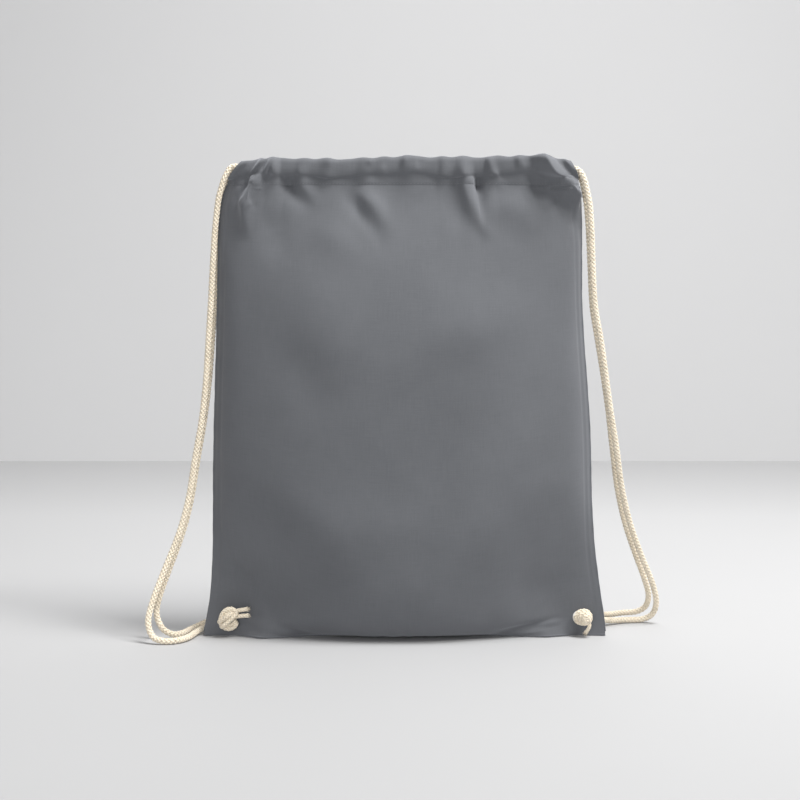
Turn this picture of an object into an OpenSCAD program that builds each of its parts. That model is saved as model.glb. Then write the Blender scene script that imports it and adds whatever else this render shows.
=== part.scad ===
// Drawstring backpack: a flat cotton bag with a corded casing round its mouth and
// two cord loops that run from the casing to an eyelet in each lower corner.
// The bag stands on its base. -Y is the front, +X is to the right as the front is seen,
// +Z is up, and the origin is the middle of the base.

/* [Bag] */
// Half the width of the base, from the middle to a lower corner
half_base_w = 189; // [170:1:210]
// Half the width of the bag over most of its height
half_body_w = 175; // [160:1:190]
// How far each panel bulges from the middle plane
bulge = 46; // [30:1:60]
// Height of the line where the casing is stitched to the panel
stitch_z = 428; // [380:1:460]
// Radius of the bulge's lower edge
base_round = 26; // [16:1:34]
// Thickness of the cloth, doubled at the seams
cloth_t = 1; // [0.8:0.1:1.6]

/* [Casing] */
// Height of the casing above its stitch line
casing_h = 27; // [24:1:36]
// Half the length of the gathered casing
casing_half_w = 146; // [120:1:160]
// Gap between the front and back casings, which is the mouth
mouth_gap = 10; // [6:0.5:14]

/* [Cord] */
// Diameter of the braided cord
cord_d = 6; // [5:0.5:6.5]
// Radius of the overhand knot
knot_r = 8.5; // [7:0.5:10]

/* [Eyelets] */
// Distance of each eyelet from the middle plane
eyelet_x = 168; // [160:1:172]
// Height of each eyelet above the base
eyelet_z = 18; // [16:1:24]
// Radius of the eyelet's bore
eyelet_bore_r = 4.2; // [4:0.1:6]
// Radius of the eyelet's flange
eyelet_flange_r = 7; // [6.5:0.5:10]

/* [Hidden] */

grey = [0.36, 0.37, 0.39];
natural = [0.86, 0.80, 0.69];
nickel = [0.62, 0.60, 0.56];

clear = 0.6;                       // gap between pieces that move apart
moving_half_w = 150;               // half the width of the part of a panel that swings open
corner_z = 36;                     // height of the flat lower corners
seam_y = 1.2;                      // half the thickness where both panels lie flat together
base_edge_y = 7;                   // where a panel starts beside the bottom seam
tunnel_w = cord_d + 0.9;           // the casing's tunnel, across
tunnel_h = 2 * cord_d + 1.6;       // and up
casing_y = mouth_gap / 2 + cloth_t + tunnel_w / 2;
top_depth = casing_y + cloth_t / 2;    // depth of a panel at its stitch line
casing_top = stitch_z + casing_h;
upper_run_z = casing_top - cloth_t - 0.4 - cord_d / 2;
lower_run_z = upper_run_z - cord_d - 0.4;
run_end = 5.5;                     // how far a run stands out of the casing's end

// ---- the bag's surface ----

// Half the bag's width at height z: wide at the base, narrower at the gathered top.
function edge_x(z) = half_body_w + (half_base_w - half_body_w) * exp(-z / 50)
    - 15 * pow(z / (stitch_z + 5), 6);

// Half the width over which the panels stand apart. Below it the corners lie flat.
function open_x(z) = edge_x(z) - 6 - 45 * exp(-pow(z / 45, 2));

// How far the panel stands out at x, for a depth d in the middle of that row. Each row
// is a lens low down, and nearly straight under the casing.
function cloth_y(x, z, d) =
    let (
        u = min(1, abs(x) / open_x(z)),
        straightness = 2.4 + 10 * pow(z / stitch_z, 4)
    )
    seam_y + (d - seam_y) * pow(max(0, 1 - pow(u, straightness)), 0.7);

// Depth in the middle of the panel at height z, above its rounded lower edge.
function depth_at(z) = bulge
    - (bulge - top_depth) * pow((z - base_round) / (stitch_z - base_round), 3);

// The profile in the middle: [depth, height] from the bottom seam up to the casing.
profile = concat(
    [[base_edge_y, 0], [(base_edge_y + bulge - base_round) / 2, 0]],
    [for (a = [0:18:72]) [bulge - base_round + base_round * sin(a), base_round * (1 - cos(a))]],
    [for (i = [0:14]) let (z = base_round + (stitch_z - 0.2 - base_round) * i / 14) [depth_at(z), z]]
);

across = [for (i = [-12:12]) moving_half_w * sin(90 * i / 12)];

function surface_grid() = [for (p = profile) [for (x = across) [x, -cloth_y(x, p[1], p[0]), p[1]]]];

function unit(v) = v / max(norm(v), 1e-9);

// Outward normal of the grid at row j and column i.
function grid_normal(g, j, i) =
    let (
        rows = len(g) - 1,
        cols = len(g[0]) - 1,
        along = g[j][min(i + 1, cols)] - g[j][max(i - 1, 0)],
        up = g[min(j + 1, rows)][i] - g[max(j - 1, 0)][i]
    )
    unit(cross(along, up));

function thickened(g, t) = [for (j = [0:len(g) - 1])
    [for (i = [0:len(g[0]) - 1]) g[j][i] - t * grid_normal(g, j, i)]];

function flipped(g) = [for (row = g) [for (p = row) [p[0], -p[1], p[2]]]];

function flat_list(g) = [for (row = g) for (p = row) p];

// A closed sheet between two grids of the same size, outer and inner.
module sheet(outer, inner) {
    rows = len(outer);
    cols = len(outer[0]);
    n = rows * cols;
    quads = concat(
        [for (j = [0:rows - 2]) for (i = [0:cols - 2])
            [j * cols + i, j * cols + i + 1, (j + 1) * cols + i + 1, (j + 1) * cols + i]],
        [for (j = [0:rows - 2]) for (i = [0:cols - 2])
            [n + j * cols + i, n + (j + 1) * cols + i, n + (j + 1) * cols + i + 1, n + j * cols + i + 1]],
        [for (i = [0:cols - 2]) [n + i, n + i + 1, i + 1, i]],
        [for (i = [0:cols - 2]) let (r = (rows - 1) * cols)
            [r + i, r + i + 1, n + r + i + 1, n + r + i]],
        [for (j = [0:rows - 2]) [j * cols, (j + 1) * cols, n + (j + 1) * cols, n + j * cols]],
        [for (j = [0:rows - 2]) let (c = cols - 1)
            [n + j * cols + c, n + (j + 1) * cols + c, (j + 1) * cols + c, j * cols + c]]
    );
    polyhedron(
        concat(flat_list(outer), flat_list(inner)),
        [for (q = quads) each [[q[2], q[1], q[0]], [q[3], q[2], q[0]]]],
        convexity = 6
    );
}

module front_panel() {
    g = surface_grid();
    color(grey) sheet(g, thickened(g, cloth_t));
}

module back_panel() {
    mirror([0, 1, 0]) front_panel();
}

// The band from the moving panels round the side seam, both layers of cloth.
side_z = [for (i = [0:18]) corner_z + 0.4 + (stitch_z + 5 - corner_z) * pow(i / 18, 1.6)];
side_steps = [0, 0.2, 0.4, 0.58, 0.72, 0.84, 0.93];

// One row of the band: out along the front, round the seam, and back along the back. The
// inner row is the outer one drawn in, so the two layers can't cross.
function side_row(z, inner) =
    let (
        start = moving_half_w + clear,
        edge = edge_x(z),
        tip = edge - (inner ? 2.4 : 0),
        d = depth_at(min(z, stitch_z)),
        layer = [for (s = side_steps)
            [start + (tip - start) * s,
             cloth_y(start + (edge - start) * s, z, d) - (inner ? cloth_t - 0.1 : 0)]]
    )
    concat(
        [for (p = layer) [p[0], -p[1], z]],
        [[tip, 0, z]],
        [for (i = [len(layer) - 1:-1:0]) [layer[i][0], layer[i][1], z]]
    );

module right_side_seam() {
    color(grey) sheet([for (z = side_z) side_row(z, false)], [for (z = side_z) side_row(z, true)]);
}

module left_side_seam() {
    mirror([1, 0, 0]) right_side_seam();
}

// The folded bottom edge, flat on the ground between the panels.
module bottom_seam() {
    along = [for (i = [-16:16]) 8 * i];
    function half(x) = max(0.4, cloth_y(x, 0, base_edge_y) - cloth_t - 1);
    color(grey)
        linear_extrude(1.6 * cloth_t)
            polygon(concat(
                [for (x = along) [x, -half(x)]],
                [for (i = [len(along) - 1:-1:0]) [along[i], half(along[i])]]
            ));
}

// The flat lower corner, pierced for the eyelet.
module right_corner() {
    steps = [for (i = [0:6]) corner_z * i / 6];
    start = moving_half_w + clear;
    color(grey)
        difference() {
            translate([0, seam_y, 0])
                rotate([90, 0, 0])
                    linear_extrude(2 * seam_y)
                        polygon(concat([for (z = steps) [edge_x(z), z]], [[start, corner_z], [start, 0]]));
            translate([eyelet_x, 0, eyelet_z])
                rotate([90, 0, 0])
                    cylinder(h = 20, r = eyelet_bore_r + 0.7, center = true, $fn = 48);
        }
}

module left_corner() {
    mirror([1, 0, 0]) right_corner();
}

// ---- casings ----

// A folded tube of cloth: a tunnel for two runs of cord over a doubled hem.
module casing() {
    color(grey)
        translate([0, -casing_y, 0])
            rotate([90, 0, 90])
                translate([0, 0, -casing_half_w])
                    linear_extrude(2 * casing_half_w)
                        casing_section();
}

module casing_section() {
    outer_w = tunnel_w + 2 * cloth_t;
    round_r = outer_w / 2;
    tunnel_low = casing_top - cloth_t - tunnel_h;
    arc = [for (a = [0:15:180]) [cos(a), sin(a)]];
    difference() {
        polygon(concat(
            [for (p = arc) [round_r * p[0], casing_top - round_r + round_r * p[1]]],
            [[-round_r, tunnel_low], [-cloth_t, tunnel_low - 4], [-cloth_t, stitch_z],
             [cloth_t, stitch_z], [cloth_t, tunnel_low - 4], [round_r, tunnel_low]]
        ));
        polygon(concat(
            [for (p = arc) tunnel_w / 2 * p + [0, casing_top - cloth_t - tunnel_w / 2]],
            [[-tunnel_w / 2, tunnel_low], [tunnel_w / 2, tunnel_low]]
        ));
    }
}

module front_casing() {
    casing();
}

module back_casing() {
    mirror([0, 1, 0]) casing();
}

// ---- eyelets ----

// Front half of a two-part metal eyelet: flange and barrel.
module eyelet() {
    color(nickel)
        translate([eyelet_x, 0, eyelet_z])
            rotate([-90, 0, 0])
                rotate_extrude($fn = 48)
                    polygon([
                        [eyelet_bore_r, -seam_y - 0.9], [eyelet_flange_r, -seam_y - 0.5],
                        [eyelet_flange_r, -seam_y - 0.05], [eyelet_bore_r + 0.6, -seam_y - 0.05],
                        [eyelet_bore_r + 0.6, seam_y + 0.9], [eyelet_bore_r, seam_y + 0.9]
                    ]);
}

// Back half: a washer that the barrel is rolled over.
module washer() {
    color(nickel)
        translate([eyelet_x, seam_y + 0.05, eyelet_z])
            rotate([-90, 0, 0])
                difference() {
                    cylinder(h = 0.8, r = eyelet_flange_r - 0.5, $fn = 48);
                    translate([0, 0, -1])
                        cylinder(h = 3, r = eyelet_bore_r + 0.65, $fn = 48);
                }
}

// ---- cord ----

// Direction of a route at its point i.
function tangent(route, i) = unit(
    unit(route[min(i + 1, len(route) - 1)] - route[i])
    + unit(route[i] - route[max(i - 1, 0)])
    + (i == 0 ? unit(route[1] - route[0]) : [0, 0, 0])
);

// The direction to the first corner of each ring, carried along the route without twist.
function carried(side, t) = unit(side - (side * t) * t);

function ring_sides(route) = [
    for (
        i = 0, side = unit(cross(tangent(route, 0), [0, 1, 0]));
        i < len(route);
        i = i + 1, side = i < len(route) ? carried(side, tangent(route, i)) : side
    ) side
];

// A ring of the tube round point p, square to direction t.
function ring(p, t, side, r, sides) = [
    for (k = [0:sides - 1])
        p + r * (cos(360 * k / sides) * side + sin(360 * k / sides) * cross(t, side))
];

// A tube along a route, closed at both ends.
module tube(route, r = cord_d / 2, sides = 10) {
    last = len(route) - 1;
    starts = ring_sides(route);
    rings = [for (i = [0:last]) ring(route[i], tangent(route, i), starts[i], r, sides)];
    wall = [for (i = [0:last - 1]) for (k = [0:sides - 1])
        let (a = i * sides + k, b = i * sides + (k + 1) % sides)
        each [[a, b, b + sides], [a, b + sides, a + sides]]];
    polyhedron(
        flat_list(rings),
        concat(
            wall,
            [[for (k = [sides - 1:-1:0]) k]],
            [[for (k = [0:sides - 1]) last * sides + k]]
        ),
        convexity = 8
    );
}

// The strands from the casing's end round the hanging loop to the eyelet. Each is cut
// at its point of the same index into a rise, by the bag, and a loop, out at the side.
strap_cut = 10;

left_front_route = [
    [-162.4, -3.6, 449], [-166.3, -4.4, 444.5], [-170, -5, 436],
    [-172.5, -5, 426.5], [-175.5, -5, 415], [-178.5, -5, 390], [-181, -5, 355],
    [-183, -5, 320], [-185.5, -5, 283], [-188, -5.5, 245], [-192, -7, 208],
    [-198.5, -9, 170], [-204.5, -12, 132], [-213, -17, 100], [-226, -24, 66],
    [-236, -31, 38], [-239.5, -36, 20], [-234.5, -41, 7], [-224, -44, 3.4],
    [-213, -41, 3.4], [-205, -29, 3.4], [-201.5, -15, 3.4], [-200, -3, 3.4],
    [-196.5, 7, 4.5], [-190, 12.5, 7], [-181.5, 13.5, 10.5], [-173, 10, 13.5],
    [-168, 5.8, 14.5]
];
left_back_route = [
    [-162.4, 3.6, 449], [-166, 4.3, 444.5], [-169.2, 4.6, 436],
    [-171.5, 4.3, 426.5], [-174.5, 3.8, 415], [-177, 3, 390], [-179, 2.5, 355],
    [-180.5, 2.5, 320], [-183, 2.5, 283], [-186, 2, 245], [-190.5, 1, 208],
    [-197, -0.5, 170], [-203, -3, 132], [-211, -6, 100], [-223, -11, 66],
    [-232, -15, 40], [-234.5, -17, 24], [-229, -18, 10.5], [-219.5, -14, 4],
    [-211.5, -4, 3.4], [-207.5, 8, 4], [-201, 17, 6], [-191, 21.5, 10],
    [-180, 20, 16], [-172, 14, 21], [-168, 5.8, 21.5]
];
right_front_route = [
    [160, -3.6, 444.5], [165, -4.2, 442], [169, -4.2, 435.5], [171.5, -3.5, 427],
    [175, -3, 410], [177, -2, 385], [178.5, -0.5, 350], [181, 1, 315], [187, 4, 283],
    [192.5, 7, 248], [198, 11, 213], [204, 16, 180], [211, 24, 138], [221, 34, 102],
    [233, 43, 71], [244.5, 52, 45], [250.5, 59, 24], [248, 64, 10], [238, 67, 3.8],
    [222, 65, 3.4], [206, 56, 4.5], [192, 41, 8], [180, 23, 12], [172, 11, 14],
    [168, 5.8, 14.5]
];
right_back_route = [
    [160, 3.6, 444.5], [164.4, 4.2, 442], [168, 4.5, 435.5], [170.3, 5, 427],
    [173.3, 5.5, 410], [175.5, 6.5, 385], [177.5, 8, 350], [179.8, 10.5, 315],
    [185.3, 13.5, 283], [191.5, 16.5, 248], [197, 20.5, 213], [201.5, 26, 180],
    [208, 34.5, 138], [217, 44.5, 103], [228.5, 54.5, 72], [239.5, 65, 45],
    [245, 73, 27], [243, 79.5, 14.5], [234, 83, 8.5], [220, 82, 7.5],
    [205.5, 72.5, 7.5], [193, 55, 10.5], [181, 34, 16], [172, 16, 21],
    [168, 5.8, 21.5]
];

// The two parts of a strand. The loop starts a hair past the rise.
function rise_of(route) = [for (i = [0:strap_cut]) route[i]];
function loop_of(route) =
    let (gap = clear * unit(route[strap_cut + 1] - route[strap_cut]))
    concat([route[strap_cut] + gap], [for (i = [strap_cut + 1:len(route) - 1]) route[i]]);

// A cord's run through the front casing. Its near end leans towards the strand.
module run(z, side) {
    color(natural)
        tube([
            [-side * casing_half_w, -casing_y, z], [0, -casing_y, z],
            [side * (casing_half_w + 0.5), -casing_y, z],
            [side * (casing_half_w + run_end), -casing_y + 2.4, z]
        ]);
}

// Where a cord turns back, outside the casing's far end.
module turn(z, side) {
    color(natural)
        translate([side * (casing_half_w + clear), 0, z])
            rotate([0, 0, side > 0 ? -90 : 90])
                rotate_extrude(angle = 180, $fn = 40)
                    translate([casing_y, 0])
                        circle(d = cord_d, $fn = 20);
}

// The squeezed cord in the eyelet's bore.
module neck(side) {
    color(natural)
        translate([side * eyelet_x, 0, eyelet_z])
            rotate([90, 0, 0])
                translate([0, 0, -1.8])
                    cylinder(h = 5.2, r = eyelet_bore_r - 0.4, $fn = 32);
}

knot_flat = 0.88;                  // where the knot's two faces are cut, as a part of its radius
knot_y = -3.4 - knot_r * knot_flat;

// An overhand knot, drawn up flat against the eyelet.
module knot(side) {
    reach = asin(knot_flat);
    color(natural)
        translate([side * eyelet_x, knot_y, eyelet_z])
            rotate([90, 0, 0])
                rotate_extrude($fn = 48)
                    polygon(concat(
                        [[0, -knot_r * knot_flat]],
                        [for (i = [-6:6]) knot_r * [cos(reach * i / 6), sin(reach * i / 6)]],
                        [[0, knot_r * knot_flat]]
                    ));
}

// The two cut ends of the cord.
module tails(side, angle, long) {
    tail_r = cord_d * 0.32;
    color(natural)
        for (k = [-1, 1])
            translate([side * eyelet_x, knot_y + k * 0.6, eyelet_z])
                rotate([0, angle + 7 * k, 0])
                    translate([0, 0, knot_r + 0.1])
                        translate([k * (tail_r + 0.2), 0, 0])
                            cylinder(h = long, r = tail_r, $fn = 20);
}

front_panel();
back_panel();
front_casing();
back_casing();
left_side_seam();
right_side_seam();
bottom_seam();
left_corner();
right_corner();
mirror([1, 0, 0]) eyelet();  // left_eyelet
eyelet();  // right_eyelet
mirror([1, 0, 0]) washer();  // left_eyelet_washer
washer();  // right_eyelet_washer
run(upper_run_z, -1);  // left_cord_front_run
mirror([0, 1, 0]) run(upper_run_z, -1);  // left_cord_back_run
turn(upper_run_z, 1);  // left_cord_turn
run(lower_run_z, 1);  // right_cord_front_run
mirror([0, 1, 0]) run(lower_run_z, 1);  // right_cord_back_run
turn(lower_run_z, -1);  // right_cord_turn
color(natural) tube(rise_of(left_front_route));  // left_strap_front_rise
color(natural) tube(rise_of(left_back_route));  // left_strap_back_rise
color(natural) tube(loop_of(left_front_route));  // left_strap_front_loop
color(natural) tube(loop_of(left_back_route));  // left_strap_back_loop
color(natural) tube(rise_of(right_front_route));  // right_strap_front_rise
color(natural) tube(rise_of(right_back_route));  // right_strap_back_rise
color(natural) tube(loop_of(right_front_route));  // right_strap_front_loop
color(natural) tube(loop_of(right_back_route));  // right_strap_back_loop
knot(-1);  // left_knot
knot(1);  // right_knot
tails(-1, 80, 8);  // left_knot_tails
tails(1, 195, 6.5);  // right_knot_tails
neck(-1);  // left_cord_neck
neck(1);  // right_cord_neck
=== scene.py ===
"""A drawstring backpack of grey cotton with natural braided cords, standing on a pale floor.

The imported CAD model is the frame. The cloth, casings, seams, cords and knots are made here, in metres.
"""
import math

import bpy
import numpy as np
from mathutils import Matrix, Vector


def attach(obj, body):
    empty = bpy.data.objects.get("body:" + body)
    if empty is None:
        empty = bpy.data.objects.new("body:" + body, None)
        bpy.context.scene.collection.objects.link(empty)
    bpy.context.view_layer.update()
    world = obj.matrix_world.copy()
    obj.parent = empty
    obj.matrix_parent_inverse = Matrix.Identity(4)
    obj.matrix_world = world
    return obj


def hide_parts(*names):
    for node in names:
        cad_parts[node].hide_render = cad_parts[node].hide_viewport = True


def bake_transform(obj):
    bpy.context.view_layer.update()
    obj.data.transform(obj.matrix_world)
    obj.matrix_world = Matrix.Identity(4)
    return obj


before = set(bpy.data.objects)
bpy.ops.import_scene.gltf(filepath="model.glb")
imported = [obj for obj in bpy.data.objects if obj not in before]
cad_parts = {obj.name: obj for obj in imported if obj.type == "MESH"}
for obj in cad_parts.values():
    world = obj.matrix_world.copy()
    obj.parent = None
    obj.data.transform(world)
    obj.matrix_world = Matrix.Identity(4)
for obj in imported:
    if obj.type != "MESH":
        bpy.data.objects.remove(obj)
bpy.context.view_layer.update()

MM = 0.001
TAU = 2 * math.pi
SIDES = {"left": -1, "right": 1}

# ---- sizes, in metres ----

STITCH_Z = 0.428            # height of the stitch line under the casings
CASING_H = 0.027            # from the stitch line to the top
HALF_WIDTH = 0.189          # half the width of the flat cloth
CLOTH_LENGTH = 0.447        # flat cloth from the bottom seam to the stitch line
CLOTH_T = 0.0008            # thickness of the cloth
BULGE = 0.045               # how far a panel stands out in the middle
TOP_DEPTH = 0.010           # and at its stitch line
BASE_ROUND = 0.026          # radius of the rounded lower edge
SEAM_Y = 0.0011             # half the thickness where the panels lie together
TOP_LEFT = -0.1670          # the gathered stitch line's two ends
TOP_RIGHT = 0.1650
CORD_D = 0.006
CASING_Y = 0.00945          # the cords' runs, from the bag's middle plane
RUN_Z = {"left": 450.6, "right": 444.2}     # height of each cord's runs, in mm
LEFT_LOWER = 1.2            # mm that the runs lie lower in the casing's left half
EYELET_X = 0.168
EYELET_Z = 0.018
PANEL_HOLE_R = 0.0058       # hole in a panel round each eyelet
STRAP_CUT = 10              # the point of a route where its rise ends and its loop starts

# ---- helpers ----


def smooth_step(t):
    t = np.clip(t, 0, 1)
    return t * t * (3 - 2 * t)


def unit(v):
    return v / np.maximum(np.linalg.norm(v, axis=-1, keepdims=True), 1e-12)


def cubic(values, places):
    """Values of a Catmull-Rom curve through the rows of values, at fractional row numbers."""
    n = len(values)
    padded = np.concatenate([[2 * values[0] - values[1]], values, [2 * values[-1] - values[-2]]])
    i = np.clip(places.astype(int), 0, n - 2)
    t = (places - i).reshape((-1,) + (1,) * (values.ndim - 1))
    a, b, c, d = (padded[i + k] for k in range(4))
    return 0.5 * (2 * b + (c - a) * t + (2 * a - 5 * b + 4 * c - d) * t ** 2
                  + (3 * b - a - 3 * c + d) * t ** 3)


def refined(grid, rows, cols):
    """A grid of points resampled smoothly to rows x cols."""
    up = cubic(grid, np.linspace(0, len(grid) - 1, rows))
    return cubic(up.swapaxes(0, 1), np.linspace(0, grid.shape[1] - 1, cols)).swapaxes(0, 1)


def distances(line):
    """How far along a line each of its points lies."""
    return np.concatenate([[0], np.cumsum(np.linalg.norm(np.diff(line, axis=0), axis=1))])


def grid_normals(grid):
    along = np.gradient(grid, axis=1)
    up = np.gradient(grid, axis=0)
    return unit(np.cross(along, up))


def make(name, points, faces, material, uv=None):
    """A smooth mesh object. uv holds one pair for each point."""
    mesh = bpy.data.meshes.new(name)
    mesh.from_pydata(np.asarray(points).tolist(), [], faces)
    mesh.polygons.foreach_set("use_smooth", [True] * len(mesh.polygons))
    if uv is not None:
        layer = mesh.uv_layers.new(name="UVMap")
        corners = np.empty(len(mesh.loops), np.int32)
        mesh.loops.foreach_get("vertex_index", corners)
        layer.data.foreach_set("uv", np.asarray(uv, np.float32)[corners].ravel())
    mesh.materials.append(material)
    mesh.update()
    piece = bpy.data.objects.new(name, mesh)
    bpy.context.scene.collection.objects.link(piece)
    return piece


def square(name, half, ys, zs, material):
    """One face, half wide to each side, from its near or lower edge to its far or upper one."""
    points = [(-half, ys[0], zs[0]), (half, ys[0], zs[0]), (half, ys[1], zs[1]), (-half, ys[1], zs[1])]
    return make(name, points, [(0, 1, 2, 3)], material)


def two_layers(name, outer, inner, uv, material, keep=None):
    """A closed sheet between two grids. keep leaves out quads, as for a hole."""
    rows, cols = outer.shape[:2]
    n = rows * cols
    if keep is None:
        keep = np.ones((rows - 1, cols - 1), bool)
    corner = np.arange(n).reshape(rows, cols)
    a, b, c, d = corner[:-1, :-1], corner[:-1, 1:], corner[1:, 1:], corner[1:, :-1]
    front = np.stack([a, b, c, d], -1)[keep]
    faces = [*front.tolist(), *(front[:, ::-1] + n).tolist()]
    edges = [(q[k], q[(k + 1) % 4]) for q in front.tolist() for k in range(4)]
    known = set(edges)
    faces += [(j, i, i + n, j + n) for i, j in edges if (j, i) not in known]
    points = np.concatenate([outer.reshape(-1, 3), inner.reshape(-1, 3)])
    uvs = np.concatenate([uv.reshape(-1, 2)] * 2)
    used = np.unique(np.concatenate([front.ravel(), front.ravel() + n]))
    renumber = np.full(2 * n, -1)
    renumber[used] = np.arange(len(used))
    faces = [tuple(renumber[list(f)].tolist()) for f in faces]
    piece = make(name, points[used], faces, material, uvs[used])
    piece.data.set_sharp_from_angle(angle=1.2)
    return piece


def make_joined(name, parts, material):
    """One mesh from several sets of points, faces and uv."""
    points, faces, uvs, first = [], [], [], 0
    for p, f, uv in parts:
        points.append(p)
        uvs.append(uv)
        faces += [tuple(i + first for i in face) for face in f]
        first += len(p)
    return make(name, np.concatenate(points), faces, material, np.concatenate(uvs))


def stands_for(replaced):
    """Hides the CAD node that a piece replaces."""
    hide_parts(replaced)


def bend(piece, weights):
    """Bakes a piece's transform into its mesh; the weights are not used."""
    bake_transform(piece)


def vertices(piece):
    co = np.empty(len(piece.data.vertices) * 3, np.float32)
    piece.data.vertices.foreach_get("co", co)
    return co.reshape(-1, 3)


def open_share(points):
    """A weight for each point of a panel or casing: 1 in the middle, falling to 0 towards the side seams
    and at the base.
    """
    across = smooth_step((0.150 - np.abs(points[:, 0])) / 0.105)
    return across * smooth_step((points[:, 2] - 0.004) / 0.09)


# ---- materials ----


def new_material(name, inputs):
    """A material, its node tree and its shader, with these inputs set."""
    material = bpy.data.materials.new(name)
    material.use_nodes = True
    shader = material.node_tree.nodes["Principled BSDF"]
    for key, value in inputs.items():
        shader.inputs[key].default_value = value
    return material, material.node_tree, shader


def node(tree, kind, **values):
    """A new node, with its inputs or settings by name."""
    made = tree.nodes.new(kind)
    for key, value in values.items():
        if key in made.inputs.keys():
            made.inputs[key].default_value = value
        else:
            setattr(made, key, value)
    return made


def mapped(tree, scale=(1, 1, 1), output="UV"):
    place = node(tree, "ShaderNodeMapping", Scale=scale)
    coordinates = node(tree, "ShaderNodeTexCoord")
    tree.links.new(coordinates.outputs[output], place.inputs["Vector"])
    return place.outputs["Vector"]


def noise(tree, place, scale, detail, roughness=0.5):
    made = node(tree, "ShaderNodeTexNoise", Scale=scale, Detail=detail, Roughness=roughness)
    tree.links.new(place, made.inputs["Vector"])
    return made.outputs["Fac"]


def split_xyz(tree, place):
    made = node(tree, "ShaderNodeSeparateXYZ")
    tree.links.new(place, made.inputs[0])
    return made.outputs


def math_node(tree, operation, a, b=0.0):
    made = node(tree, "ShaderNodeMath", operation=operation)
    for socket, value in zip(made.inputs, (a, b)):
        if isinstance(value, (int, float)):
            socket.default_value = value
        else:
            tree.links.new(value, socket)
    return made.outputs[0]


def weighted(tree, *terms):
    """The sum of some values, each times its weight."""
    total = 0.0
    for value, weight in terms:
        total = math_node(tree, "ADD", total, math_node(tree, "MULTIPLY", value, weight))
    return total


def coloured(tree, shader, factor, dark, light, low=0.0, high=1.0):
    """Colours a shader from dark, where the factor is low, to light, where it is high."""
    ramp = node(tree, "ShaderNodeValToRGB")
    for element, colour, position in zip(ramp.color_ramp.elements, (dark, light), (low, high)):
        element.color = (*colour, 1)
        element.position = position
    tree.links.new(factor, ramp.inputs["Fac"])
    tree.links.new(ramp.outputs["Color"], shader.inputs["Base Color"])


def bumped(tree, shader, height, strength, distance):
    bump = node(tree, "ShaderNodeBump", Strength=strength, Distance=distance)
    tree.links.new(height, bump.inputs["Height"])
    tree.links.new(bump.outputs["Normal"], shader.inputs["Normal"])


WAVE_PERIOD = 0.314         # of a wave texture at scale 1
WEAVE_PITCH = 0.85          # mm from thread to thread


def cotton_cloth():
    """Plain-woven grey cotton: threads both ways, slubs, and slow changes of shade. UVs are in mm."""
    material, tree, shader = new_material("grey_cotton", {
        "Roughness": 0.93, "Specular IOR Level": 0.15, "Sheen Weight": 0.35,
        "Sheen Roughness": 0.55, "Sheen Tint": (0.8, 0.82, 0.88, 1)})
    threads = []
    for direction in ("X", "Y"):
        wave = node(tree, "ShaderNodeTexWave", bands_direction=direction, Distortion=1.6,
                    Detail=2.0, Scale=WAVE_PERIOD / WEAVE_PITCH)
        wave.inputs["Detail Scale"].default_value = 0.7
        tree.links.new(mapped(tree), wave.inputs["Vector"])
        threads.append(wave.outputs["Fac"])
    weave = math_node(tree, "ADD", *threads)
    slubs = [noise(tree, mapped(tree, drawn_out), 1.0, 3.0, 0.6)
             for drawn_out in ((0.05, 1.3, 1), (1.3, 0.05, 1))]
    slub = math_node(tree, "ADD", *slubs)
    cloud = noise(tree, mapped(tree), 0.016, 4.0, 0.55)
    fleck = noise(tree, mapped(tree), 1.1, 2.0)
    shade = weighted(tree, (slub, 0.32), (cloud, 0.45), (fleck, 0.22), (weave, 0.06))
    coloured(tree, shader, shade, (0.084, 0.087, 0.094), (0.118, 0.122, 0.131), 0.45, 0.95)
    bumped(tree, shader, weighted(tree, (weave, 0.5), (slub, 1.2)), 0.35, 0.00012)
    return material


def cotton_cord():
    """Natural cotton yarn: fine fibres along each yarn, slow warm changes, and painted shade, darker on
    each yarn's inner side and paler on its outer side.
    """
    material, tree, shader = new_material("natural_cotton", {
        "Roughness": 0.9, "Specular IOR Level": 0.12, "Sheen Weight": 0.25, "Sheen Roughness": 0.6,
        "Subsurface Weight": 0.06, "Subsurface Radius": (0.002, 0.0015, 0.001)})
    fibre = noise(tree, mapped(tree, (9.0, 0.8, 1)), 1.0, 3.0, 0.65)
    tone = noise(tree, mapped(tree, output="Object"), 90.0, 3.0)
    # painted shade: a sine round each yarn makes its inner side darker, standing in for the shade where
    # the yarns hide each other
    round_yarn = math_node(tree, "MULTIPLY", split_xyz(tree, mapped(tree))[0], TAU)
    painted_yarn_shade = math_node(tree, "MAXIMUM", math_node(tree, "SINE", round_yarn), -0.3)
    painted_yarn_shade = math_node(tree, "MINIMUM", painted_yarn_shade, 0.7)
    shade = weighted(tree, (fibre, 0.6), (tone, 0.4), (painted_yarn_shade, 0.28))
    coloured(tree, shader, shade, (0.40, 0.335, 0.24), (0.73, 0.65, 0.52), 0.30, 0.70)
    bumped(tree, shader, fibre, 0.5, 0.00025)
    return material


def sewing_thread():
    material, tree, shader = new_material("grey_thread", {"Roughness": 0.7})
    twist = noise(tree, mapped(tree, output="Object"), 2500.0, 1.0)
    coloured(tree, shader, twist, (0.10, 0.104, 0.112), (0.15, 0.155, 0.165))
    return material


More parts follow.
